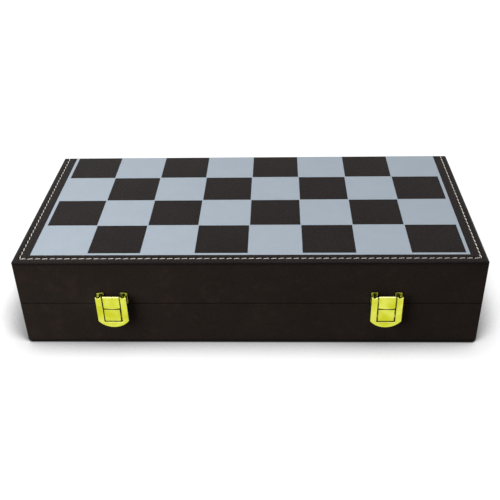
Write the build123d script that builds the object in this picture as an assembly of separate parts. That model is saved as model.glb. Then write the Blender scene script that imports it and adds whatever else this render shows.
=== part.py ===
from build123d import *
import os

# A folding chess board that closes into a flat box with two latches.
# Millimetres. The origin is the middle of the underside of the closed box. X runs along the long
# side, Y runs from the latches at the front to the hinges at the back, and Z is up.
# The lid is the base half mirrored in the parting plane. Only the order of its squares differs, so
# that the pattern runs on across the fold when the board lies open, and its front corners, which
# are sharper than the base's.

# Squares, as printed on each half
square = 40.4
columns = 8
rows = 4
grid_line = 0.6
frame_line = 2.2
print_depth = 0.15

# Play panel, which is grey card in padded leatherette, glued on the outside of each half. It stands
# out over the front wall and is level with the others.
side_border = 12.0
front_border = 10.2
panel_core = 1.2
panel_cover = 0.8
panel_edge_round = 1.0
panel_inner_round = 0.5
lid_front_corner = 1.5
base_front_corner = 3.5
panel_back_corner = 1.0
panel_overhang = 0.7

# Case halves, which are fibreboard wrapped in leatherette
half_height = 38.0
board = 4.0
wall = 8.0
rabbet = 4.0
wrap = 0.6
wrap_corner = 1.0
wrap_turn_in = 3.0
rim_round = 0.45
rim_gap = 0.3
floor_felt = 1.0
wall_lining = 0.6

# Butt hinges, let into the rims of the back walls
hinge_from_end = 65.8
hinge_length = 30.0
hinge_leaf_width = 7.5
hinge_leaf = 0.9
hinge_leaf_gap = 0.1
hinge_knuckle = 3.6
hinge_knuckles = 5
hinge_knuckle_gap = 0.2
hinge_pin = 1.8
hinge_pin_clearance = 0.04
hinge_overhang = 0.5
hinge_mortise_clearance = 0.2
hinge_relief_clearance = 0.35
hinge_screw_spacing = 20.0
hinge_screw_set_in = 4.4
hinge_screw_shank = 1.8
hinge_screw_head = 3.6
hinge_screw_cross = 2.16
hinge_screw_length = 8.0

# Toggle latches. Across is measured from the latch's middle, out from the front wall, and up from
# the parting plane.
latch_from_end = 72.3
latch_sheet = 0.8
lever_out = 7.0
lever_arm = 4.65
lever_top = 10.5
lever_side_bottom = -11.7
lever_arc_bottom = -17.5
lever_corner = 0.8
lever_edge_round = 0.35
window_half_width = 7.05
window_bottom = -12.6
window_corner = 0.6
dip_radius = 1.4
dip_centre_rise = 0.4
flange_back = 3.0
flange_heel = 2.0
flange_foot = 1.0
flange_foot_slope = 2.6
rib_back = 4.8
rib_foot = -12.0
pivot_out = 4.5
pivot_up = 7.0
rivet = 1.2
rivet_head = 2.2
rivet_head_thick = 0.5
bracket_set_in = 0.2
bracket_top = 10.4
bracket_foot = 0.35
bracket_notch_gap = 0.2
bracket_notch_foot = 4.2
bracket_corner = 0.6
lug_side_gap = 0.2
lug_nose = 1.45
lug_foot = 3.0
link_side_gap = 0.85
link_sheet = 0.7
link_set_back = 0.3
link_eye = 1.3
link_pin_up = 9.2
link_pin = 1.2
link_pin_head = 1.5
link_pin_head_thick = 0.4
link_foot = -0.4
link_smile = 0.8
hook_reach = 1.25
hook_set_in = 1.2
hook_thick = 0.7
hook_rise = 0.8
catch_side_gap = 0.85
catch_set_back = 0.9
catch_top = -1.5
catch_foot = -12.5
catch_flange_beyond_screw = 2.0
catch_corner = 1.5
catch_edge_round = 0.3
catch_shift = {"left": -0.5, "right": 0.1}
lip_clearance = 0.35
lip_top = 2.2
latch_screw_side_gap = 0.1
latch_screw_shank = 1.9
latch_screw_head = 3.4
latch_screw_cross = 1.87
latch_screw_head_thick = 1.1
latch_screw_length = 7.0
bracket_screw_up = 2.4
catch_screw_up = -7.0
cross_width = 0.5
cross_depth = 0.4

# Clearances of fits
tight = 0.02
running = 0.05

# Sizes that follow from those above
panel_width = columns * square + 2 * (frame_line + side_border)
panel_depth = rows * square + frame_line + front_border
panel_right = panel_width / 2
panel_back = panel_depth / 2
panel_front = -panel_back
panel_thick = panel_core + panel_cover
case_right = panel_right
case_front = panel_front + panel_overhang
case_back = panel_back
rim = half_height - rim_gap / 2
board_top = panel_thick + board
floor_top = board_top + floor_felt
wall_top = rim - wrap
hinge_y = case_back + hinge_overhang
hinge_centre = case_right - hinge_from_end
mortise_floor = half_height - hinge_leaf_gap / 2 - hinge_leaf
latch_centre = case_right - latch_from_end
lever_half_width = window_half_width + lever_arm
lug_inner = lever_half_width - 2 * latch_sheet - lug_side_gap
bracket_half_width = lever_half_width - bracket_set_in
link_half_width = window_half_width - link_side_gap
bracket_notch = link_half_width + bracket_notch_gap
hook_half_width = link_half_width - hook_set_in
catch_half_width = window_half_width - catch_side_gap
latch_screw_across = catch_half_width + latch_screw_head / 2 + latch_screw_side_gap
catch_flange_half_width = latch_screw_across + catch_flange_beyond_screw
catch_out = lever_out - catch_set_back
link_out = lever_out - link_set_back
link_pin_out = link_out - link_eye
parting = Plane.XY.offset(half_height)


def block(x, y, z):
    """A block between two places along each axis."""
    size = (x[1] - x[0], y[1] - y[0], z[1] - z[0])
    middle = ((x[0] + x[1]) / 2, (y[0] + y[1]) / 2, (z[0] + z[1]) / 2)
    return Pos(*middle) * Box(*size)


def slab(right, front, back, z, front_corner, back_corner):
    """A flat block, as wide to the left as to the right, with rounded upright corners."""
    outline = Pos(0, (front + back) / 2) * Rectangle(2 * right, back - front)
    if front_corner > 0:
        outline = fillet(outline.vertices().group_by(Axis.Y)[0], front_corner)
    if back_corner > 0:
        outline = fillet(outline.vertices().group_by(Axis.Y)[-1], back_corner)
    return extrude(Pos(0, 0, z[0]) * outline, z[1] - z[0])


def rod(x, y, z, radius):
    """A round bar along X, from x[0] to x[1]."""
    return Pos((x[0] + x[1]) / 2, y, z) * Rot(0, 90, 0) * Cylinder(radius, abs(x[1] - x[0]))


# Play panel

def panel_block(front_corner, inset):
    """The play panel's outer shape, drawn in by inset on its outer face and its edges."""
    body = slab(
        panel_right - inset,
        panel_front + inset,
        panel_back - inset,
        (inset, panel_thick),
        front_corner - inset,
        panel_back_corner - inset,
    )
    return fillet(body.faces().sort_by(Axis.Z)[0].edges(), panel_edge_round - inset)


def dark_squares(first_dark):
    """The dark squares as flat faces. The row at the fold runs off the panel's back edge."""
    windows = Sketch()
    for row in range(rows):
        for column in range(columns):
            if (row + column) % 2 != first_dark:
                continue
            left = (column - columns / 2) * square + grid_line / 2
            right = left + square - grid_line
            front = panel_back - (rows - row) * square + grid_line / 2
            back = front + square - grid_line
            if row == rows - 1:
                back = panel_back + square / 2
            windows += Pos((left + right) / 2, (front + back) / 2) * Rectangle(right - left, back - front)
    return windows


def pale_print(first_dark, front_corner):
    """The silver print: frame, grid lines and pale squares as one skin let into the leatherette."""
    right = columns / 2 * square + frame_line
    front = panel_back - rows * square - frame_line
    back = panel_back + square / 2
    outline = Pos(0, (front + back) / 2) * Rectangle(2 * right, back - front)
    pattern = extrude(outline - dark_squares(first_dark), panel_edge_round)
    skin = panel_block(front_corner, 0) - panel_block(front_corner, print_depth)
    return skin & pattern


def play_panel(first_dark, front_corner):
    core = slab(
        panel_right - panel_cover,
        panel_front + panel_cover,
        panel_back - panel_cover,
        (panel_cover, panel_thick),
        front_corner - panel_cover,
        max(panel_back_corner - panel_cover, 0),
    )
    cover = panel_block(front_corner, 0)
    inner_edges = cover.faces().sort_by(Axis.Z)[-1].edges()
    cover = fillet(inner_edges, min(panel_inner_round, panel_core / 2))
    squares = pale_print(first_dark, front_corner)
    return {"panel_core": core, "panel_cover": cover - core - squares, "panel_squares": squares}


# Screws

def driver_cross(across):
    """The cross in a screw's head, with its mouth at the origin and its depth along -Z."""
    bar = Pos(0, 0, -cross_depth / 2) * Box(across, cross_width, cross_depth)
    return bar + Rot(0, 0, 90) * bar


def hinge_screw(clearance=0.0):
    """A countersunk screw along -Z with the top of its head at the origin."""
    shank = hinge_screw_shank / 2 + clearance
    head = hinge_screw_head / 2 + clearance
    taper = Pos(0, 0, -hinge_leaf / 2) * Cone(shank, head, hinge_leaf)
    stem = Pos(0, 0, -hinge_screw_length / 2) * Cylinder(shank, hinge_screw_length)
    screw = taper + stem
    if clearance == 0:
        screw -= driver_cross(hinge_screw_cross)
    return screw


def hinge_screw_places(side):
    top = half_height - hinge_leaf_gap / 2
    for end in (-1, 1):
        x = side * hinge_centre + end * hinge_screw_spacing / 2
        yield Pos(x, hinge_y - hinge_screw_set_in, top)


def latch_screw(clearance=0.0):
    """A round-headed screw along -Z with the underside of its head at the origin."""
    shank = Pos(0, 0, -latch_screw_length / 2) * Cylinder(
        latch_screw_shank / 2 + clearance, latch_screw_length
    )
    if clearance > 0:
        return shank
    head = Pos(0, 0, latch_screw_head_thick / 2) * Cylinder(latch_screw_head / 2, latch_screw_head_thick)
    head = fillet(head.edges().group_by(Axis.Z)[-1], latch_screw_head_thick / 2)
    cross = Pos(0, 0, latch_screw_head_thick) * driver_cross(latch_screw_cross)
    return shank + head - cross


def front_plane(centre, out, up=0.0):
    """A plane level with the front wall. Its own X is across, its Y is up, its normal points out."""
    origin = (centre, case_front - out, half_height + up)
    return Plane(origin=origin, x_dir=(1, 0, 0), z_dir=(0, -1, 0))


def latch_screw_places(centre, up):
    for end in (-1, 1):
        yield front_plane(centre + end * latch_screw_across, latch_sheet, up).location


# Case halves

def case_outline(inset, z):
    """The wrapped case's outer shape, drawn in by inset."""
    corner = max(wrap_corner - inset, 0)
    return slab(case_right - inset, case_front + inset, case_back - inset, z, corner, corner)


def case_inside(inset, z):
    """The space inside the walls, drawn in by inset."""
    far = wrap + wall + inset
    return block(
        (-case_right + far, case_right - far), (case_front + far, case_back - far), z
    )


def rim_cuts():
    """What is cut out of the back rim for the hinges: knuckle reliefs, leaf mortises, screw holes."""
    cuts = []
    for side in (-1, 1):
        middle = side * hinge_centre
        half = hinge_length / 2 + hinge_mortise_clearance
        ends = (middle - half, middle + half)
        cuts.append(rod(ends, hinge_y, half_height, hinge_knuckle / 2 + hinge_relief_clearance))
        inner = hinge_y - hinge_leaf_width - hinge_mortise_clearance
        cuts.append(block(ends, (inner, hinge_y), (mortise_floor, half_height)))
        cuts += [place * hinge_screw(tight) for place in hinge_screw_places(side)]
    return cuts


def front_cuts(up, centres):
    """Pilot holes for the latch screws of one half."""
    return [place * latch_screw(tight) for c in centres for place in latch_screw_places(c, up)]


def case_half(screw_up, screw_centres):
    """Board, walls, wrap and linings of the base half, seen from inside as an open tray."""
    rim_holes = rim_cuts()
    front_holes = front_cuts(screw_up, screw_centres)
    parts = {"board": case_outline(wrap, (panel_thick, board_top))}
    ring = case_outline(wrap, (board_top, wall_top)) - case_inside(0, (board_top, wall_top))
    x_out = case_right - wrap
    y_in = case_front + wrap + wall
    y_out = case_back - wrap - wall
    z = (board_top, wall_top)
    step = wall - rabbet
    for name, side in (("left_wall", -1), ("right_wall", 1)):
        x = sorted((side * x_out, side * (x_out - wall)))
        parts[name] = block(x, (y_in - step, y_out + step), z)
    sides = parts["left_wall"] + parts["right_wall"]
    ends = ring - sides
    front = ends & block((-x_out, x_out), (case_front, 0), z)
    back = ends & block((-x_out, x_out), (0, case_back), z)
    parts["front_wall"] = front - front_holes
    parts["back_wall"] = back - rim_holes
    parts["wall_cover"] = wall_cover() - rim_holes - front_holes
    floor_z = (board_top, floor_top)
    parts["floor_lining"] = case_inside(0, floor_z)
    lining_z = (floor_top, wall_top - wrap_turn_in)
    parts["wall_lining"] = case_inside(0, lining_z) - case_inside(wall_lining, lining_z)
    return parts


def wall_cover():
    """Leatherette over the walls: down the outside, over the rim and a little way down inside."""
    skin = case_outline(0, (panel_thick, rim))
    skin = fillet(skin.faces().sort_by(Axis.Z)[-1].edges(), rim_round)
    walls = case_outline(wrap, (panel_thick, wall_top)) - case_inside(0, (board_top, wall_top))
    hollow = case_inside(wrap, (board_top, rim))
    below_turn_in = case_inside(0, (board_top, wall_top - wrap_turn_in))
    return skin - walls - hollow - below_turn_in


# Hinges

def hinge_leaf_plate(centre, own):
    """The base half's leaf with its own knuckles, cut clear of the other leaf's."""
    top = half_height - hinge_leaf_gap / 2
    z = (top - hinge_leaf, top)
    half = hinge_length / 2
    inner = hinge_y - hinge_leaf_width
    pitch = hinge_length / hinge_knuckles
    short = hinge_y - hinge_knuckle / 2 - hinge_knuckle_gap
    leaf = block((centre - half, centre + half), (inner, short), z)
    for i in own:
        start = centre - half + i * pitch
        ends = (start + hinge_knuckle_gap / 2, start + pitch - hinge_knuckle_gap / 2)
        leaf += block(ends, (short, hinge_y), z)
        leaf += rod(ends, hinge_y, half_height, hinge_knuckle / 2)
    leaf -= rod((centre - half, centre + half), hinge_y, half_height, hinge_pin / 2 + hinge_pin_clearance)
    return leaf


def hinge(side):
    """One butt hinge, closed: both leaves and the pin."""
    centre = side * hinge_centre
    half = hinge_length / 2
    own = range(0, hinge_knuckles, 2)
    others = range(1, hinge_knuckles, 2)
    holes = [place * hinge_screw(tight) for place in hinge_screw_places(side)]
    lower = hinge_leaf_plate(centre, own) - holes
    upper = mirror(hinge_leaf_plate(centre, others) - holes, about=parting)
    pin = rod((centre - half, centre + half), hinge_y, half_height, hinge_pin / 2)
    return {"base_leaf": lower, "lid_leaf": upper, "pin": pin}


# Latches

def plate(centre, across, out, up):
    """A block of a latch, between two places across, out and up."""
    return block(
        (centre + across[0], centre + across[1]),
        (case_front - out[1], case_front - out[0]),
        (half_height + up[0], half_height + up[1]),
    )


def side_plate(centre, across, points, rounded=None, radius=0.0):
    """A sheet seen from the side, drawn through (out, up) points and as thick as across says."""
    view = Plane(
        origin=(centre + across[1], case_front, half_height), x_dir=(0, -1, 0), z_dir=(-1, 0, 0)
    )
    outline = make_face(Polyline(*points, close=True))
    if rounded is not None:
        corner = outline.vertices().sort_by_distance(Vector(*rounded))[0]
        outline = fillet(corner, radius)
    return extrude(view * outline, across[1] - across[0])


def cross_rod(centre, across, out, up, radius):
    """A round bar across a latch."""
    ends = (centre + across[0], centre + across[1])
    return rod(ends, case_front - out, half_height + up, radius)


def both_sides(across):
    """The same stretch on the left and on the right of the latch's middle."""
    return [tuple(sorted((side * across[0], side * across[1]))) for side in (-1, 1)]


def latch_bracket(centre):
    """The plate on the lid, with two lugs that carry the lever."""
    low, high = bracket_foot, bracket_top
    outline = Pos(0, (low + high) / 2) * Rectangle(2 * bracket_half_width, high - low)
    outline = fillet(outline.vertices(), bracket_corner)
    notch_height = high - bracket_notch_foot
    outline -= Pos(0, high - notch_height / 2) * Rectangle(2 * bracket_notch, notch_height)
    bracket = extrude(front_plane(centre, 0) * outline, latch_sheet)
    top = pivot_up + lug_nose
    lug = [(0, lug_foot), (0, top), (pivot_out, top), (pivot_out, pivot_up - lug_nose)]
    for across in both_sides((lug_inner, lug_inner + latch_sheet)):
        bracket += side_plate(centre, across, lug)
        bracket += cross_rod(centre, across, pivot_out, pivot_up, lug_nose)
        bracket -= cross_rod(centre, across, pivot_out, pivot_up, rivet / 2 + tight)
    holes = [place * latch_screw(tight) for place in latch_screw_places(centre, bracket_screw_up)]
    return bracket - holes


def latch_lever(centre):
    """The curved lever: a forked front plate with a flange down each edge of each arm."""
    wide, top = lever_half_width, lever_top
    side, bottom = lever_side_bottom, lever_arc_bottom
    rim_line = Polyline((wide, side), (wide, top), (-wide, top), (-wide, side))
    sweep = ThreePointArc((-wide, side), (0, bottom), (wide, side))
    outline = make_face(rim_line + sweep)
    outline = fillet(outline.vertices().group_by(Axis.Y)[0], lever_corner)
    window_height = top - window_bottom
    window = Pos(0, top - window_height / 2) * Rectangle(2 * window_half_width, window_height)
    outline -= fillet(window.vertices().group_by(Axis.Y)[0], window_corner)
    arm_middle = (lever_half_width + window_half_width) / 2
    for across in (-arm_middle, arm_middle):
        outline -= Pos(across, top + dip_centre_rise) * Circle(dip_radius)
    back = lever_out - latch_sheet
    lever = extrude(front_plane(centre, back) * outline, latch_sheet)
    lever = fillet(lever.faces().sort_by(Axis.Y)[0].edges(), lever_edge_round)
    joint = lever_out - latch_sheet / 2
    heel = (flange_back, top)
    flange = [(joint, top), heel, (flange_back, flange_foot), (joint, flange_foot - flange_foot_slope)]
    rib = [(joint, top), heel, (flange_back, flange_foot), (rib_back, -flange_foot), (rib_back, rib_foot)]
    rib.append((joint, rib_foot))
    for across in both_sides((wide - latch_sheet, wide)):
        lever += side_plate(centre, across, flange, heel, flange_heel)
        lever -= cross_rod(centre, across, pivot_out, pivot_up, rivet / 2 + running)
    for across in both_sides((window_half_width, window_half_width + latch_sheet)):
        lever += side_plate(centre, across, rib, heel, flange_heel)
        lever -= cross_rod(centre, across, link_pin_out, link_pin_up, link_pin / 2 + tight)
    return lever


def lever_rivets(centre):
    """Two short rivets in the bracket's lugs, on which the lever turns."""
    rivets = []
    for side in (-1, 1):
        shank = sorted((side * lug_inner, side * lever_half_width))
        head = sorted((side * lug_inner, side * (lug_inner - rivet_head_thick)))
        body = cross_rod(centre, shank, pivot_out, pivot_up, rivet / 2)
        rivets.append(body + cross_rod(centre, head, pivot_out, pivot_up, rivet_head / 2))
    return Compound(children=rivets)


def latch_link(centre):
    """The hook plate in the lever's window, rolled round its pin at the top."""
    wide = link_half_width
    corner = link_foot + link_smile
    sides = Polyline((wide, corner), (wide, link_pin_up), (-wide, link_pin_up), (-wide, corner))
    smile = ThreePointArc((-wide, corner), (0, link_foot), (wide, corner))
    link = extrude(front_plane(centre, link_out - link_sheet) * make_face(sides + smile), link_sheet)
    link += cross_rod(centre, (-wide, wide), link_pin_out, link_pin_up, link_eye)
    hook_out = (link_out - link_sheet - hook_reach, link_out - link_sheet / 2)
    hook_up = (link_foot + hook_rise, link_foot + hook_rise + hook_thick)
    link += plate(centre, (-hook_half_width, hook_half_width), hook_out, hook_up)
    link -= cross_rod(centre, (-wide, wide), link_pin_out, link_pin_up, link_pin / 2 + running)
    return link


def latch_link_pin(centre):
    """The pin that carries the link between the lever's inner flanges."""
    end = window_half_width + latch_sheet
    pin = cross_rod(centre, (-end, end), link_pin_out, link_pin_up, link_pin / 2)
    for across in both_sides((end, end + link_pin_head_thick)):
        pin += cross_rod(centre, across, link_pin_out, link_pin_up, link_pin_head / 2)
    return pin


def latch_catch(centre):
    """The catch on the base: a raised box with a lip that stands up behind the link's hook."""
    up = (catch_foot, catch_top)
    wide = catch_half_width
    flange = Pos(0, sum(up) / 2) * Rectangle(2 * catch_flange_half_width, up[1] - up[0])
    flange = fillet(flange.vertices(), catch_corner)
    catch = extrude(front_plane(centre, 0) * flange, latch_sheet)
    box = plate(centre, (-wide, wide), (latch_sheet, catch_out), up)
    box = fillet(box.faces().sort_by(Axis.Y)[0].edges(), catch_edge_round)
    inside = wide - latch_sheet
    room = (up[0] - latch_sheet, up[1] - latch_sheet)
    box -= plate(centre, (-inside, inside), (latch_sheet, catch_out - latch_sheet), room)
    lip_out = link_out - link_sheet - hook_reach - lip_clearance
    shelf_back = lip_out - latch_sheet
    box -= plate(centre, (-inside, inside), (latch_sheet, shelf_back), (room[1], up[1]))
    lip = plate(
        centre, (-hook_half_width, hook_half_width), (shelf_back, lip_out), (room[1], lip_top)
    )
    catch += box + lip
    holes = [place * latch_screw(tight) for place in latch_screw_places(centre, catch_screw_up)]
    return catch - holes


def latch_screws(centre, up):
    return Compound(children=[place * latch_screw() for place in latch_screw_places(centre, up)])


# Assembly

sides = {"left": -1, "right": 1}
catch_centres = {side: sign * latch_centre + catch_shift[side] for side, sign in sides.items()}
bracket_centres = {side: sign * latch_centre for side, sign in sides.items()}
nodes = {}

base = play_panel(0, base_front_corner) | case_half(catch_screw_up, catch_centres.values())
for name, solid in base.items():
    nodes["base_" + name] = solid

lid = play_panel(1, lid_front_corner) | case_half(-bracket_screw_up, bracket_centres.values())
for name, solid in lid.items():
    nodes["lid_" + name] = mirror(solid, about=parting)

for side, sign in sides.items():
    for name, solid in hinge(sign).items():
        nodes[f"{side}_hinge_{name}"] = solid

screws = [place * hinge_screw() for sign in sides.values() for place in hinge_screw_places(sign)]
nodes["hinge_base_screws"] = Compound(children=screws)
nodes["hinge_lid_screws"] = Compound(children=[mirror(screw, about=parting) for screw in screws])

for side in sides:
    centre = bracket_centres[side]
    nodes[f"{side}_latch_bracket"] = latch_bracket(centre)
    nodes[f"{side}_latch_bracket_screws"] = latch_screws(centre, bracket_screw_up)
    nodes[f"{side}_latch_lever"] = latch_lever(centre)
    nodes[f"{side}_latch_rivets"] = lever_rivets(centre)
    nodes[f"{side}_latch_link"] = latch_link(centre)
    nodes[f"{side}_latch_link_pin"] = latch_link_pin(centre)
    nodes[f"{side}_latch_catch"] = latch_catch(catch_centres[side])
    nodes[f"{side}_latch_catch_screws"] = latch_screws(catch_centres[side], catch_screw_up)

os.makedirs("parts", exist_ok=True)
for name, solid in nodes.items():
    export_step(solid, f"parts/{name}.step")
print(len(nodes), "nodes written")
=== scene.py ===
import math

import bpy
import numpy as np
from mathutils import Matrix, Vector


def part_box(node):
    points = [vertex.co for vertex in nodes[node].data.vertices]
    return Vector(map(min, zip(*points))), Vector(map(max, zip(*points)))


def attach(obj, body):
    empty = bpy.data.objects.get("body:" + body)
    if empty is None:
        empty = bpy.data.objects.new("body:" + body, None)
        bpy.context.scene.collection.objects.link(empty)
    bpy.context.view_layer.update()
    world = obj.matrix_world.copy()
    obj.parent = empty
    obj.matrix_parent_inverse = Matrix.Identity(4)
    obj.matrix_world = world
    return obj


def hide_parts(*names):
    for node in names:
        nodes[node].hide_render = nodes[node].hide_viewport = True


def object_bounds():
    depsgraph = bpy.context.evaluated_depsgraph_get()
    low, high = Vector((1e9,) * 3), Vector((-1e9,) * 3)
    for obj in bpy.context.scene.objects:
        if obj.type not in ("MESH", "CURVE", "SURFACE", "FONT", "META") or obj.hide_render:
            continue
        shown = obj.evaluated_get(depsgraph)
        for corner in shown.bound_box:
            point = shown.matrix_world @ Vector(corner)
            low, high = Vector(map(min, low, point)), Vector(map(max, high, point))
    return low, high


# A folding chess board, closed into its box: dark brown leatherette, a silver-blue print of squares,
# cream stitching round three sides and two lemon-gold toggle latches. Metres, in the frame's own axes.

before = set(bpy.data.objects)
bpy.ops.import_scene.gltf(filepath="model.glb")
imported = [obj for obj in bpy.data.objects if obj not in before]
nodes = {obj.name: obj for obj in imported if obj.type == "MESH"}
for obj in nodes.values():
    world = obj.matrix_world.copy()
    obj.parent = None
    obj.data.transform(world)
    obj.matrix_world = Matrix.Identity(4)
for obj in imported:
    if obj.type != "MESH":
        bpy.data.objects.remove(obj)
cad_low, cad_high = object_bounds()


# Case walls and boards
# Each half is a tray of 4 mm and 8 mm fibreboard, sawn to size and glued. The leatherette and the
# linings hide all of it, so it shows only if a covering is taken off.

def linear(hex_colour):
    """An sRGB hex colour as the linear colour that a shader takes."""
    srgb = [int(hex_colour[i:i + 2], 16) / 255 for i in (1, 3, 5)]
    return [c / 12.92 if c <= 0.04045 else ((c + 0.055) / 1.055) ** 2.4 for c in srgb] + [1.0]


def add(tree, kind, inputs, **settings):
    """Adds a shader node. An input is a constant, or a node and its output's name for a link."""
    node = tree.nodes.new("ShaderNode" + kind)
    for name, value in settings.items():
        setattr(node, name, value)
    for name, value in inputs.items():
        socket = next(s for s in node.inputs if s.identifier == name)
        if isinstance(value, tuple):
            source, output = value
            tree.links.new(next(s for s in source.outputs if s.identifier == output), socket)
        else:
            socket.default_value = value
    return node


def new_material(name):
    """A material with no nodes, and its tree."""
    material = bpy.data.materials.new(name)
    material.use_nodes = True
    material.node_tree.nodes.clear()
    return material, material.node_tree


def coat(material, *names):
    """Gives CAD nodes a material."""
    for name in names:
        nodes[name].data.materials.clear()
        nodes[name].data.materials.append(material)


MM = 0.001
HALVES = ("base", "lid")
SIDES = ("left", "right")

# Medium-density fibreboard, sawn: fine fibres 0.7 mm apart give the eye a dull, even, felted brown.
fibre = 0.7 * MM
fibreboard, tree = new_material("sawn_fibreboard")
place = add(tree, "TexCoord", {})
fibres = add(tree, "TexNoise", {"Vector": (place, "Object"), "Scale": 1 / fibre, "Detail": 3.0})
colour = add(
    tree, "Mix",
    {"Factor_Float": (fibres, "Fac"), "A_Color": linear("#8F6F4B"), "B_Color": linear("#B8946A")},
    data_type="RGBA",
)
bumps = add(tree, "Bump", {"Height": (fibres, "Fac"), "Strength": 0.5, "Distance": 0.05 * MM})
surface = add(
    tree, "BsdfPrincipled",
    {"Base Color": (colour, "Result_Color"), "Normal": (bumps, "Normal"), "Roughness": 0.9},
)
add(tree, "OutputMaterial", {"Surface": (surface, "BSDF")})
boards = ("board", "front_wall", "back_wall", "left_wall", "right_wall")
coat(fibreboard, *(f"{half}_{name}" for half in HALVES for name in boards))


# Leatherette round the walls
# One strip of thin polyurethane leatherette on cloth, glued round the outside of each half, over the
# rim and 3 mm down inside. It is smoother and thinner than the leatherette of the play panels.

# Polyurethane leatherette, embossed by a roller: a pebble 0.8 mm across and so shallow that it only
# breaks the sheen. Dark brown and nearly matt, with faint clouds 28 mm across where glue and board lie
# under it and reddish scuffs 9 mm across. Painted light: the pebble tops are painted lighter and the
# furrows darker, and painted shade darkens the parting line and the wall under the panels.
wall_pebble = 0.8 * MM
wall_cloud = 28 * MM
wall_scuff = 9 * MM
wall_painted_shade_reach = 3.0 * MM
wall_leatherette, tree = new_material("smooth_matt_leatherette")
place = add(tree, "TexCoord", {})
clouds = add(tree, "TexNoise", {"Vector": (place, "Object"), "Scale": 1 / wall_cloud, "Detail": 4.0})
pebbles = add(
    tree, "TexVoronoi",
    {"Vector": (place, "Object"), "Scale": 1 / wall_pebble, "Smoothness": 0.6},
    feature="SMOOTH_F1",
)
colour = add(
    tree, "Mix",
    {"Factor_Float": (clouds, "Fac"), "A_Color": linear("#28221E"), "B_Color": linear("#342D28")},
    data_type="RGBA",
)
scuffs = add(tree, "TexNoise", {"Vector": (place, "Object"), "Scale": 1 / wall_scuff, "Detail": 6.0})
scuffed = add(
    tree, "MapRange",
    {"Value": (scuffs, "Fac"), "From Min": 0.5, "From Max": 0.75, "To Max": 0.55},
)
colour = add(
    tree, "Mix",
    {
        "Factor_Float": (scuffed, "Result"), "A_Color": (colour, "Result_Color"),
        "B_Color": linear("#3B2F2B"),
    },
    data_type="RGBA",
)
# Painted light: the pebble tops are painted lighter as sheen and the furrows darker as shade.
painted_grain_sheen_and_shade = add(
    tree, "MapRange",
    {"Value": (pebbles, "Distance"), "From Max": 0.7, "To Min": 1.12, "To Max": 0.8},
)
# Painted shade: a short occlusion test darkens the colour in the parting line and under the panels.
crease_occlusion = add(tree, "AmbientOcclusion", {"Distance": wall_painted_shade_reach}, samples=8)
painted_crease_shade = add(
    tree, "MapRange",
    {"Value": (crease_occlusion, "AO"), "From Min": 0.52, "From Max": 0.95, "To Min": 0.05},
)
for shade in (painted_grain_sheen_and_shade, painted_crease_shade):
    colour = add(
        tree, "Mix",
        {"Factor_Float": 1.0, "A_Color": (colour, "Result_Color"), "B_Color": (shade, "Result")},
        data_type="RGBA", blend_type="MULTIPLY",
    )
bumps = add(
    tree, "Bump", {"Height": (pebbles, "Distance"), "Strength": 0.8, "Distance": 0.1 * MM}, invert=True
)
surface = add(
    tree, "BsdfPrincipled",
    {
        "Base Color": (colour, "Result_Color"), "Normal": (bumps, "Normal"),
        "Roughness": 0.5, "Specular IOR Level": 0.02,
    },
)
add(tree, "OutputMaterial", {"Surface": (surface, "BSDF")})
coat(wall_leatherette, "base_wall_cover", "lid_wall_cover")


# Play panel cores
# Bookbinder's grey card, 1.2 mm thick, die-cut. Foam and leatherette are drawn over it and glued
# behind, so the card stiffens the panel and never shows.

# Pulp card: flecks 1.5 mm long in a dull grey.
fleck = 1.5 * MM
grey_card, tree = new_material("grey_pulp_card")
place = add(tree, "TexCoord", {})
flecks = add(tree, "TexNoise", {"Vector": (place, "Object"), "Scale": 1 / fleck, "Detail": 2.0})
colour = add(
    tree, "Mix",
    {"Factor_Float": (flecks, "Fac"), "A_Color": linear("#8B8985"), "B_Color": linear("#A5A29C")},
    data_type="RGBA",
)
surface = add(tree, "BsdfPrincipled", {"Base Color": (colour, "Result_Color"), "Roughness": 0.95})
add(tree, "OutputMaterial", {"Surface": (surface, "BSDF")})
coat(grey_card, "base_panel_core", "lid_panel_core")


# Play panel covers
# Pebbled leatherette over thin foam, wrapped round the card. A sewing machine has stitched it round
# three sides, which sinks a groove, a dimple at every hole and puckers that run out to the rolled edge.

panel_low, panel_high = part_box("lid_panel_cover")
panel_right, panel_front, panel_back = panel_high.x, panel_low.y, panel_high.y
panel_thick = panel_high.z - panel_low.z
print_proud = 0.03 * MM
edge_round = 1.0 * MM
shoulder = 2.0 * MM
inner_round = 0.5 * MM
front_corners = {"lid": 1.5 * MM, "base": 3.5 * MM}
back_corner = 1.0 * MM
least_corner = 0.25 * MM
stitch_from_side = 5.0 * MM
stitch_from_front = 5.9 * MM
stitches_in_front = 62
stitches_in_side = 32
flat_from_side = 11.8 * MM
flat_from_front = 10.0 * MM
flat_from_back = 3.0 * MM
groove_depth = 0.42 * MM
groove_half = 0.75 * MM
groove_reach = 2.0
dimple_depth = 0.16 * MM
dimple_radius = 0.75 * MM
pucker_depth = 0.12 * MM
pucker_half = 0.95 * MM
pucker_reach = 2.3 * MM
column = 0.62 * MM
turn_in_steps = 4
roll_steps = 8
outer_steps = 4
groove_steps = 13
inner_steps = 5
corner_steps = 7

seam_x = panel_right - stitch_from_side
seam_front = panel_front + stitch_from_front


def seam_runs():
    """The three straight runs of the seam: start, direction, outward direction, length, stitches."""
    side_length = panel_back - seam_front
    front_length = 2 * seam_x
    left_back, left_front = np.array([-seam_x, panel_back]), np.array([-seam_x, seam_front])
    right_front = np.array([seam_x, seam_front])
    return [
        (left_back, np.array([0, -1]), np.array([-1, 0]), side_length, stitches_in_side),
        (left_front, np.array([1, 0]), np.array([0, -1]), front_length, stitches_in_front),
        (right_front, np.array([0, 1]), np.array([1, 0]), side_length, stitches_in_side),
    ]


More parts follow.
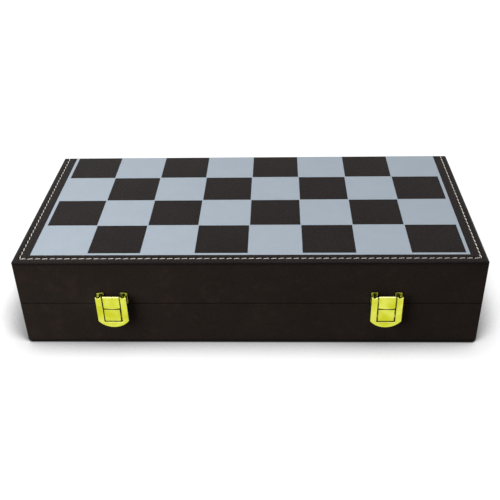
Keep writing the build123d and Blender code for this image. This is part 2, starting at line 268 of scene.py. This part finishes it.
def sunk(places):
    """How far the seam pulls the cover down at each place."""
    groove, dimple, pucker = (np.zeros(len(places)) for _ in range(3))
    for start, direction, outward, length, count in seam_runs():
        along = (places - start) @ direction
        across = (places - start) @ outward
        past = along - np.clip(along, 0, length)
        pitch = length / count
        hole = np.clip(np.round(along / pitch), 0, count) * pitch
        to_hole = along - hole
        from_run = np.hypot(across, past)
        groove = np.maximum(groove, np.exp(-((from_run / groove_half) ** 2)))
        dimple = np.maximum(dimple, np.exp(-((across**2 + to_hole**2) / dimple_radius**2)))
        reach = np.exp(-((to_hole / pucker_half) ** 2) - (across / pucker_reach) ** 2)
        pucker = np.maximum(pucker, reach)
    return groove_depth * groove + dimple_depth * dimple + pucker_depth * pucker


def profile():
    """The cover's section from the card's back round the edge to the flat middle.
    Each point is its distance in from the side, the front and the back edge, and its depth."""
    points = []
    for turn in np.linspace(0, math.pi / 2, turn_in_steps):
        inward = inner_round * (1 - math.sin(turn))
        points.append((inward, inward, inward, panel_thick - inner_round * (1 - math.cos(turn))))
    for turn in np.linspace(0, math.pi / 2, roll_steps):
        inward = shoulder * (1 - math.cos(turn))
        rear = edge_round * (1 - math.cos(turn))
        points.append((inward, inward, rear, edge_round * (1 - math.sin(turn))))
    shares = np.linspace(0, 1, outer_steps)[1:-1]
    across = np.linspace(-groove_reach, groove_reach, groove_steps) * groove_half
    inner = np.linspace(0, 1, inner_steps)[1:]
    groups = []
    for seam, flat in ((stitch_from_side, flat_from_side), (stitch_from_front, flat_from_front)):
        outer_end, inner_start = seam + across[0], seam + across[-1]
        outer = shoulder + shares * (outer_end - shoulder)
        groups.append(np.concatenate([outer, seam + across, inner_start + inner * (flat - inner_start)]))
    back = np.linspace(edge_round, flat_from_back, len(groups[0]) + 1)[1:]
    points += [(side, front, rear, 0.0) for side, front, rear in zip(*groups, back)]
    return points


def loop(side_in, front_in, back_in, front_radius, back_radius):
    """A rounded rectangle in plan, anticlockwise from above, with as many points for any inset.
    The back edge has no seam, so it has a quarter of the front edge's points."""
    right, front, back = panel_right - side_in, panel_front + front_in, panel_back - back_in
    front_columns = round(2 * panel_right / column)
    side_columns = round((panel_back - panel_front) / column)
    corners = [
        (-right, front, front_radius, math.pi, front_columns),
        (right, front, front_radius, 1.5 * math.pi, side_columns),
        (right, back, back_radius, 0, front_columns // 4),
        (-right, back, back_radius, 0.5 * math.pi, side_columns),
    ]
    arcs = []
    for x, y, radius, start, _ in corners:
        centre = np.array([x - math.copysign(radius, x), y + (radius if y < 0 else -radius)])
        turns = start + np.linspace(0, math.pi / 2, corner_steps)
        arcs.append(centre + radius * np.stack([np.cos(turns), np.sin(turns)], axis=1))
    points = []
    for i, (_, _, _, _, columns) in enumerate(corners):
        following = arcs[(i + 1) % len(arcs)][0]
        shares = np.linspace(0, 1, columns + 1)[1:-1, None]
        points += [arcs[i], arcs[i][-1] + shares * (following - arcs[i][-1])]
    return np.concatenate(points)


def new_piece(name, vertices, faces, material, body):
    """A smooth mesh piece that rides on a body and takes the given material."""
    mesh = bpy.data.meshes.new(name)
    mesh.from_pydata([tuple(v) for v in vertices], [], [tuple(int(i) for i in f) for f in faces])
    mesh.polygons.foreach_set("use_smooth", [True] * len(mesh.polygons))
    mesh.materials.append(material)
    mesh.update()
    piece = bpy.data.objects.new(name, mesh)
    bpy.context.scene.collection.objects.link(piece)
    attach(piece, body)
    return piece


def on_half(half, plan, depth):
    """Points of a play panel in the frame, from their plan and their depth under its face."""
    if half == "lid":
        height = cad_high.z - depth
    else:
        height = cad_low.z + depth
    return np.column_stack([plan, height])


def facing_out(half, faces):
    """Faces drawn for the lid, turned over for the base."""
    return faces if half == "lid" else [face[::-1] for face in faces]


def panel_cover(half):
    """The wrapped cover of one half's play panel, as one closed skin."""
    rings, faces = [], []
    for side_in, front_in, back_in, depth in profile():
        plan = loop(
            side_in + print_proud, front_in + print_proud, back_in + print_proud,
            max(front_corners[half] - side_in, least_corner), max(back_corner - side_in, least_corner),
        )
        pulled = sunk(plan) * max(0.0, 1 - depth / edge_round)
        rings.append(on_half(half, plan, depth + print_proud + pulled))
    count = len(rings[0])
    for r in range(len(rings) - 1):
        ring, beyond = r * count, (r + 1) * count
        for c in range(count):
            following = (c + 1) % count
            faces.append([ring + c, ring + following, beyond + following, beyond + c])
    faces.append(list(range((len(rings) - 1) * count, len(rings) * count)))
    faces.append(list(range(count))[::-1])
    return np.concatenate(rings), facing_out(half, faces)


# Polyurethane leatherette on foam, embossed with a round pebble 1.5 mm across, which just shows. Dark
# brown, satin. Painted light: the domes are painted lighter as a sheen, and the furrows between them,
# the sewn groove and the turned edge are painted darker as shade.
panel_pebble = 1.5 * MM
panel_cloud = 35 * MM
panel_painted_shade_reach = 2.2 * MM
panel_leatherette, tree = new_material("pebbled_foam_backed_leatherette")
place = add(tree, "TexCoord", {})
clouds = add(tree, "TexNoise", {"Vector": (place, "Object"), "Scale": 1 / panel_cloud, "Detail": 4.0})
pebbles = add(
    tree, "TexVoronoi",
    {"Vector": (place, "Object"), "Scale": 1 / panel_pebble, "Smoothness": 0.5},
    feature="SMOOTH_F1",
)
colour = add(
    tree, "Mix",
    {"Factor_Float": (clouds, "Fac"), "A_Color": linear("#221D1C"), "B_Color": linear("#2D2827")},
    data_type="RGBA",
)
# Painted shade: a short occlusion test darkens the colour in the sewn groove and other creases.
crease_occlusion = add(tree, "AmbientOcclusion", {"Distance": panel_painted_shade_reach}, samples=8)
painted_crease_shade = add(
    tree, "MapRange",
    {"Value": (crease_occlusion, "AO"), "From Min": 0.45, "From Max": 0.92, "To Min": 0.15},
)
# Painted shade: faces that turn away from level, as on the rolled edge, are darkened down to 45 %.
facing = add(tree, "SeparateXYZ", {"Vector": (place, "Normal")})
upright = add(tree, "Math", {"Value": (facing, "Z")}, operation="ABSOLUTE")
painted_roll_shade = add(
    tree, "MapRange",
    {"Value": (upright, "Value"), "From Min": 0.4, "From Max": 0.99, "To Min": 0.45},
)
# Painted light: the pebble domes are painted lighter as sheen and the furrows darker as shade.
painted_grain_sheen_and_shade = add(
    tree, "MapRange",
    {"Value": (pebbles, "Distance"), "From Max": 0.7, "To Min": 1.18, "To Max": 0.72},
)
for shade in (painted_crease_shade, painted_roll_shade, painted_grain_sheen_and_shade):
    colour = add(
        tree, "Mix",
        {"Factor_Float": 1.0, "A_Color": (colour, "Result_Color"), "B_Color": (shade, "Result")},
        data_type="RGBA", blend_type="MULTIPLY",
    )
bumps = add(
    tree, "Bump", {"Height": (pebbles, "Distance"), "Strength": 1.0, "Distance": 0.2 * MM}, invert=True
)
surface = add(
    tree, "BsdfPrincipled",
    {
        "Base Color": (colour, "Result_Color"), "Normal": (bumps, "Normal"),
        "Roughness": 0.42, "Specular IOR Level": 0.03,
    },
)
add(tree, "OutputMaterial", {"Surface": (surface, "BSDF")})
for half in HALVES:
    vertices, faces = panel_cover(half)
    name = f"{half}_stitched_cover"
    cover = new_piece(name, vertices, faces, panel_leatherette, half)
    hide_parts(f"{half}_panel_cover")


# Printed squares
# Silver-blue ink, screen-printed on the leatherette before it is wrapped: pale squares, the thin
# lines between the squares and a frame on three sides. At the fold the print runs over the edge.

# Screen ink, cured: it follows the pebble and half fills it, and gives a flat pale blue-grey with a
# satin sheen. The ink is laid a little unevenly, in patches about 12 mm across.
ink_patch = 12 * MM
silver_ink, tree = new_material("silver_blue_screen_ink")
place = add(tree, "TexCoord", {})
patches = add(tree, "TexNoise", {"Vector": (place, "Object"), "Scale": 1 / ink_patch, "Detail": 5.0})
pebbles = add(
    tree, "TexVoronoi",
    {"Vector": (place, "Object"), "Scale": 1 / panel_pebble, "Smoothness": 0.5},
    feature="SMOOTH_F1",
)
colour = add(
    tree, "Mix",
    {"Factor_Float": (patches, "Fac"), "A_Color": linear("#A9B5C1"), "B_Color": linear("#B3BEC9")},
    data_type="RGBA",
)
bumps = add(
    tree, "Bump", {"Height": (pebbles, "Distance"), "Strength": 0.8, "Distance": 0.12 * MM}, invert=True
)
surface = add(
    tree, "BsdfPrincipled",
    {
        "Base Color": (colour, "Result_Color"), "Normal": (bumps, "Normal"),
        "Roughness": 0.5, "Specular IOR Level": 0.2,
    },
)
add(tree, "OutputMaterial", {"Surface": (surface, "BSDF")})
coat(silver_ink, "base_panel_squares", "lid_panel_squares")


# Stitching
# Cream polyester thread of two twisted plies, in a lockstitch about 5.5 mm long. Each stitch leans a
# little, from its start near the edge to its end nearer the print, and dives into a hole at each end,
# where the plies are pulled thin.

thread_depth = 0.40 * MM
thread_dive = 0.5 * MM
dive_power = 5
thread_taper = 0.45
taper_power = 4
ply_radius = 0.21 * MM
ply_offset = 0.14 * MM
ply_turn = 2.8 * MM
stitch_lean = 0.75 * MM
stitch_gap = 0.7 * MM
ring_steps = 17
ring_sides = 7


def stitch(start, direction, outward, length):
    """One stitch as plan places, depths and faces, for both plies."""
    plan, depth, faces = [], [], []
    shares = np.linspace(0, 1, ring_steps)
    turns = np.linspace(0, 2 * math.pi, ring_sides, endpoint=False)
    ends = np.abs(2 * shares - 1)
    along = stitch_gap / 2 + shares * (length - stitch_gap)
    lean = stitch_lean * (0.5 - shares)
    dive = thread_dive * ends**dive_power
    thick = 1 - thread_taper * ends**taper_power
    for ply in range(2):
        twist = 2 * math.pi * along / ply_turn + math.pi * ply
        across = lean + ply_offset * thick * np.cos(twist)
        centre_depth = thread_depth + dive - ply_offset * thick * np.sin(twist)
        first = len(plan)
        for i in range(ring_steps):
            radius = ply_radius * thick[i]
            for turn in turns:
                sideways = across[i] + radius * math.cos(turn)
                plan.append(start + direction * along[i] + outward * sideways)
                depth.append(centre_depth[i] - radius * math.sin(turn))
        for i in range(ring_steps - 1):
            for j in range(ring_sides):
                k = (j + 1) % ring_sides
                ring, beyond = first + i * ring_sides, first + (i + 1) * ring_sides
                faces.append([ring + j, ring + k, beyond + k, beyond + j])
        faces.append([first + j for j in range(ring_sides)][::-1])
        last = first + (ring_steps - 1) * ring_sides
        faces.append([last + j for j in range(ring_sides)])
    return plan, depth, faces


def seam_thread(half):
    """All stitches of one half's play panel."""
    plan, depth, faces = [], [], []
    for start, direction, outward, length, count in seam_runs():
        pitch = length / count
        for i in range(count):
            first = len(plan)
            hole = start + direction * pitch * i
            made_plan, made_depth, made_faces = stitch(hole, direction, outward, pitch)
            plan += made_plan
            depth += made_depth
            faces += [[first + j for j in face] for face in made_faces]
    return on_half(half, np.array(plan), np.array(depth)), facing_out(half, faces)


# Bonded polyester thread: cream, slightly waxy, with fibres 0.15 mm apart that soften its sheen.
thread_fibre = 0.15 * MM
cream_thread, tree = new_material("cream_polyester_thread")
place = add(tree, "TexCoord", {})
fuzz = add(tree, "TexNoise", {"Vector": (place, "Object"), "Scale": 1 / thread_fibre, "Detail": 2.0})
colour = add(
    tree, "Mix",
    {"Factor_Float": (fuzz, "Fac"), "A_Color": linear("#E9E4D6"), "B_Color": linear("#FCF9EF")},
    data_type="RGBA",
)
bumps = add(tree, "Bump", {"Height": (fuzz, "Fac"), "Strength": 0.4, "Distance": 0.03 * MM})
surface = add(
    tree, "BsdfPrincipled",
    {
        "Base Color": (colour, "Result_Color"), "Normal": (bumps, "Normal"),
        "Roughness": 0.6, "Sheen Weight": 0.3,
    },
)
add(tree, "OutputMaterial", {"Surface": (surface, "BSDF")})
for half in HALVES:
    vertices, faces = seam_thread(half)
    new_piece(f"{half}_stitching", vertices, faces, cream_thread, half)


# Linings
# Black flocked cloth on thin foam, glued to the floor and the walls inside each half, so that the
# chessmen lie softly.

# Flock: upright fibres, drawn 0.5 mm apart, coarser than the real ones so that they show. They
# swallow the light from above and glow faintly at a low angle.
flock_fibre = 0.5 * MM
nap_patch = 20 * MM
flock, tree = new_material("black_flocked_cloth")
place = add(tree, "TexCoord", {})
fibres = add(tree, "TexNoise", {"Vector": (place, "Object"), "Scale": 1 / flock_fibre, "Detail": 3.0})
nap = add(tree, "TexNoise", {"Vector": (place, "Object"), "Scale": 1 / nap_patch, "Detail": 3.0})
colour = add(
    tree, "Mix",
    {"Factor_Float": (nap, "Fac"), "A_Color": linear("#131211"), "B_Color": linear("#1F1D1C")},
    data_type="RGBA",
)
bumps = add(tree, "Bump", {"Height": (fibres, "Fac"), "Strength": 0.8, "Distance": 0.25 * MM})
surface = add(
    tree, "BsdfPrincipled",
    {
        "Base Color": (colour, "Result_Color"), "Normal": (bumps, "Normal"), "Roughness": 1.0,
        "Specular IOR Level": 0.1, "Sheen Weight": 0.25, "Sheen Roughness": 0.4,
    },
)
add(tree, "OutputMaterial", {"Surface": (surface, "BSDF")})
coat(flock, *(f"{half}_{name}" for half in HALVES for name in ("floor_lining", "wall_lining")))


# Butt hinges
# Two stock hinges of rolled sheet steel, brass-plated, let into the back rims. Each has a pin through
# five knuckles and two countersunk cross-head screws in each leaf.

# Brass plate over rolled steel: warm, a little dull, with rolling marks 0.2 mm apart along the leaf.
rolling_mark = 0.2 * MM
brass_plate, tree = new_material("brass_plated_rolled_steel")
place = add(tree, "TexCoord", {})
stretched = add(tree, "Mapping", {"Vector": (place, "Object"), "Scale": [0.05, 1.0, 1.0]})
marks = add(tree, "TexNoise", {"Vector": (stretched, "Vector"), "Scale": 1 / rolling_mark, "Detail": 3.0})
rough = add(tree, "MapRange", {"Value": (marks, "Fac"), "To Min": 0.24, "To Max": 0.38})
bumps = add(tree, "Bump", {"Height": (marks, "Fac"), "Strength": 0.15, "Distance": 0.02 * MM})
surface = add(
    tree, "BsdfPrincipled",
    {
        "Base Color": linear("#C9AE62"), "Metallic": 1.0, "Roughness": (rough, "Result"),
        "Normal": (bumps, "Normal"),
    },
)
add(tree, "OutputMaterial", {"Surface": (surface, "BSDF")})
coat(brass_plate, *(f"{side}_hinge_{name}" for side in SIDES for name in ("base_leaf", "lid_leaf", "pin")))
coat(brass_plate, "hinge_base_screws", "hinge_lid_screws")


# Toggle latches
# Stock case latches of pressed sheet steel: a bracket screwed to the lid carries a curved lever on two
# rivets, the lever carries a hook plate, and the hook catches a raised box screwed to the base.

# Lemon-gold plate over pressed steel: bright and greenish yellow, polished, with the faint ripple of
# pressed sheet, 9 mm from crest to crest, and fine polishing marks 0.25 mm apart. Painted light: faces
# turned away from the front, the rolled edges among them, are painted paler as a highlight, and the
# narrow gaps between the plates are painted dark as shade.
press_ripple = 9 * MM
polish_mark = 0.25 * MM
edge_roll = 0.5 * MM
painted_gap_shade_reach = 2.0 * MM
gilt, tree = new_material("lemon_gold_plated_pressed_steel")
place = add(tree, "TexCoord", {})
ripple = add(tree, "TexNoise", {"Vector": (place, "Object"), "Scale": 1 / press_ripple, "Detail": 1.0})
marks = add(tree, "TexNoise", {"Vector": (place, "Object"), "Scale": 1 / polish_mark, "Detail": 2.0})
rough = add(tree, "MapRange", {"Value": (marks, "Fac"), "To Min": 0.2, "To Max": 0.32})
paler = add(tree, "MapRange", {"Value": (ripple, "Fac"), "From Min": 0.3, "From Max": 0.7})
plate = add(
    tree, "Mix",
    {"Factor_Float": (paler, "Result"), "A_Color": linear("#C6CA28"), "B_Color": linear("#DEE25E")},
    data_type="RGBA",
)
rounded = add(tree, "Bevel", {"Radius": edge_roll}, samples=6)
waves = add(
    tree, "Bump",
    {"Height": (ripple, "Fac"), "Strength": 0.4, "Distance": 0.4 * MM, "Normal": (rounded, "Normal")},
)
# Painted highlight: the less a face looks to the front or back, the more it is mixed towards pale gold.
facing = add(tree, "SeparateXYZ", {"Vector": (place, "Normal")})
flat = add(tree, "Math", {"Value": (facing, "Y")}, operation="ABSOLUTE")
painted_edge_highlight = add(
    tree, "MapRange",
    {"Value": (flat, "Value"), "From Min": 0.6, "From Max": 0.97, "To Min": 0.6, "To Max": 0.0},
)
plate = add(
    tree, "Mix",
    {"Factor_Float": (painted_edge_highlight, "Result"), "A_Color": (plate, "Result_Color"), "B_Color": linear("#ECECB4")},
    data_type="RGBA",
)
# Painted shade: a short occlusion test mixes the plate towards a near-black olive in the narrow gaps.
gap_occlusion = add(tree, "AmbientOcclusion", {"Distance": painted_gap_shade_reach}, samples=8)
free_of_painted_gap_shade = add(tree, "MapRange", {"Value": (gap_occlusion, "AO"), "From Min": 0.45, "From Max": 0.95})
plate = add(
    tree, "Mix",
    {"Factor_Float": (free_of_painted_gap_shade, "Result"), "A_Color": linear("#1C1C06"), "B_Color": (plate, "Result_Color")},
    data_type="RGBA",
)
surface = add(
    tree, "BsdfPrincipled",
    {
        "Base Color": (plate, "Result_Color"), "Metallic": 1.0, "Roughness": (rough, "Result"),
        "Normal": (waves, "Normal"),
    },
)
add(tree, "OutputMaterial", {"Surface": (surface, "BSDF")})
latch_parts = ("bracket", "bracket_screws", "lever", "rivets", "link", "link_pin", "catch", "catch_screws")
coat(gilt, *(f"{side}_latch_{name}" for side in SIDES for name in latch_parts))


# Table and light
# A plain white table, four studio lamps and a dim white room. The table is white for the camera and
# for reflections. A small lit share of it takes the lamps' real shadows; the rest is a glow with
# painted shadow: one shade 27 mm wide all round the box, and another, 58 mm wide, beside and behind
# it. It reaches pure white 200 mm away.

table_half = 3.0
contact_reach = 27 * MM
side_reach = 58 * MM
lean_to_front = Vector((0.1, -0.6, 0.79))
bleach_from, bleach_to = 0.95, 1.0
bleach_reach = 200 * MM
lit_share = 0.15
room_light = 0.10


def white_rays(tree):
    """Which rays find the surroundings white: those of the camera, of reflections and of clear things."""
    path = add(tree, "LightPath", {})
    seen = (path, "Is Camera Ray")
    for ray in ("Is Glossy Ray", "Is Transmission Ray"):
        either = add(tree, "Math", {"Value": seen, "Value_001": (path, ray)}, operation="MAXIMUM")
        seen = (either, "Value")
    return seen


# Matt white laminate: it gives the eye nothing but the shadow, and sends little light back to the box.
table_material, tree = new_material("white_laminate_table")
place = add(tree, "TexCoord", {})
aside = add(tree, "VectorMath", {"Vector": (place, "Object")}, operation="ABSOLUTE")
aside = add(
    tree, "VectorMath",
    {"Vector": (aside, "Vector"), "Vector_001": [cad_high.x, cad_high.y, 0.0]},
    operation="SUBTRACT",
)
aside = add(
    tree, "VectorMath",
    {"Vector": (aside, "Vector"), "Vector_001": [0.0, 0.0, 0.0]},
    operation="MAXIMUM",
)
away = add(tree, "VectorMath", {"Vector": (aside, "Vector")}, operation="LENGTH")
bleach = add(
    tree, "MapRange",
    {"Value": (away, "Value"), "From Max": bleach_reach, "To Min": bleach_from, "To Max": bleach_to},
)
# Painted shadow: two occlusion tests darken the table's glow near the box.
near = add(tree, "AmbientOcclusion", {"Distance": contact_reach}, samples=8)
contact_shade = add(tree, "MapRange", {"Value": (near, "AO"), "From Min": 0.45, "To Min": 0.5})
leaning = add(
    tree, "CombineXYZ", {"X": lean_to_front.x, "Y": lean_to_front.y, "Z": lean_to_front.z}
)
beside = add(
    tree, "AmbientOcclusion", {"Distance": side_reach, "Normal": (leaning, "Vector")}, samples=16
)
side_shade = add(
    tree, "MapRange",
    {"Value": (beside, "AO"), "From Min": 0.70, "From Max": 0.87, "To Min": 0.4},
)
shade = add(
    tree, "Math",
    {"Value": (contact_shade, "Result"), "Value_001": (side_shade, "Result")},
    operation="MULTIPLY",
)
lit_shade = add(
    tree, "Math", {"Value": (shade, "Value"), "Value_001": lit_share}, operation="MULTIPLY"
)
lit = add(tree, "BsdfDiffuse", {"Color": (lit_shade, "Value")})
glow = add(tree, "Emission", {"Color": (shade, "Value"), "Strength": (bleach, "Result")})
white = add(tree, "AddShader", {"Shader": (lit, "BSDF"), "Shader_001": (glow, "Emission")})
plain = add(tree, "BsdfDiffuse", {"Color": [lit_share, lit_share, lit_share, 1.0]})
surface = add(
    tree, "MixShader",
    {"Fac": white_rays(tree), "Shader": (plain, "BSDF"), "Shader_001": (white, "Shader")},
)
add(tree, "OutputMaterial", {"Surface": (surface, "Shader")})
table_mesh = bpy.data.meshes.new("table")
corner_signs = ((-1, -1), (1, -1), (1, 1), (-1, 1))
table_corners = [(x * table_half, y * table_half, 0) for x, y in corner_signs]
table_mesh.from_pydata(table_corners, [], [(0, 1, 2, 3)])
table_mesh.materials.append(table_material)
table = bpy.data.objects.new("table", table_mesh)
bpy.context.scene.collection.objects.link(table)

world = bpy.data.worlds.new("white_room")
world.use_nodes = True
tree = world.node_tree
tree.nodes.clear()
dim = add(tree, "Background", {"Color": [1.0, 1.0, 1.0, 1.0], "Strength": room_light})
bright = add(tree, "Background", {"Color": [1.0, 1.0, 1.0, 1.0], "Strength": 1.0})
room = add(
    tree, "MixShader",
    {"Fac": white_rays(tree), "Shader": (dim, "Background"), "Shader_001": (bright, "Background")},
)
add(tree, "OutputWorld", {"Surface": (room, "Shader")})
bpy.context.scene.world = world


def lamp(name, place, width, depth, power):
    """A soft rectangular lamp, turned to the box."""
    data = bpy.data.lights.new(name, "AREA")
    data.shape = "RECTANGLE"
    data.size = width
    data.size_y = depth
    data.energy = power
    piece = bpy.data.objects.new(name, data)
    piece.location = place
    piece.rotation_euler = (-Vector(place)).to_track_quat("-Z", "Y").to_euler()
    bpy.context.scene.collection.objects.link(piece)


lamp("left_key_lamp", (-0.72, -0.48, 0.46), width=0.8, depth=0.8, power=9.6)
lamp("overhead_softbox", (0.0, -0.05, 1.10), width=1.0, depth=0.8, power=4.9)
lamp("back_left_lamp", (-0.52, 1.00, 0.55), width=0.6, depth=0.4, power=0.5)
lamp("back_right_lamp", (1.00, 0.80, 0.20), width=0.5, depth=0.4, power=5.0)


# Camera
# It stands in front of the box and a little above it, and looks down on it. Its place, turn and lens
# put the printed squares where the photograph has them.

camera_place = Vector((0.0223, -0.5484, 0.3880))
camera_pitch = math.radians(33.10)
camera_turn = math.radians(2.51)
camera_roll = math.radians(-1.52)
camera_data = bpy.data.cameras.new("camera")
camera_data.lens = 54.84
camera_data.sensor_width = 36.0
camera = bpy.data.objects.new("camera", camera_data)
camera.location = camera_place
turn = Matrix.Rotation(camera_turn, 3, "Z")
pitch = Matrix.Rotation(math.pi / 2 - camera_pitch, 3, "X")
roll = Matrix.Rotation(camera_roll, 3, "Z")
camera.rotation_euler = (turn @ pitch @ roll).to_euler()
bpy.context.scene.collection.objects.link(camera)
bpy.context.scene.camera = camera
bpy.context.scene.view_settings.view_transform = "Standard"
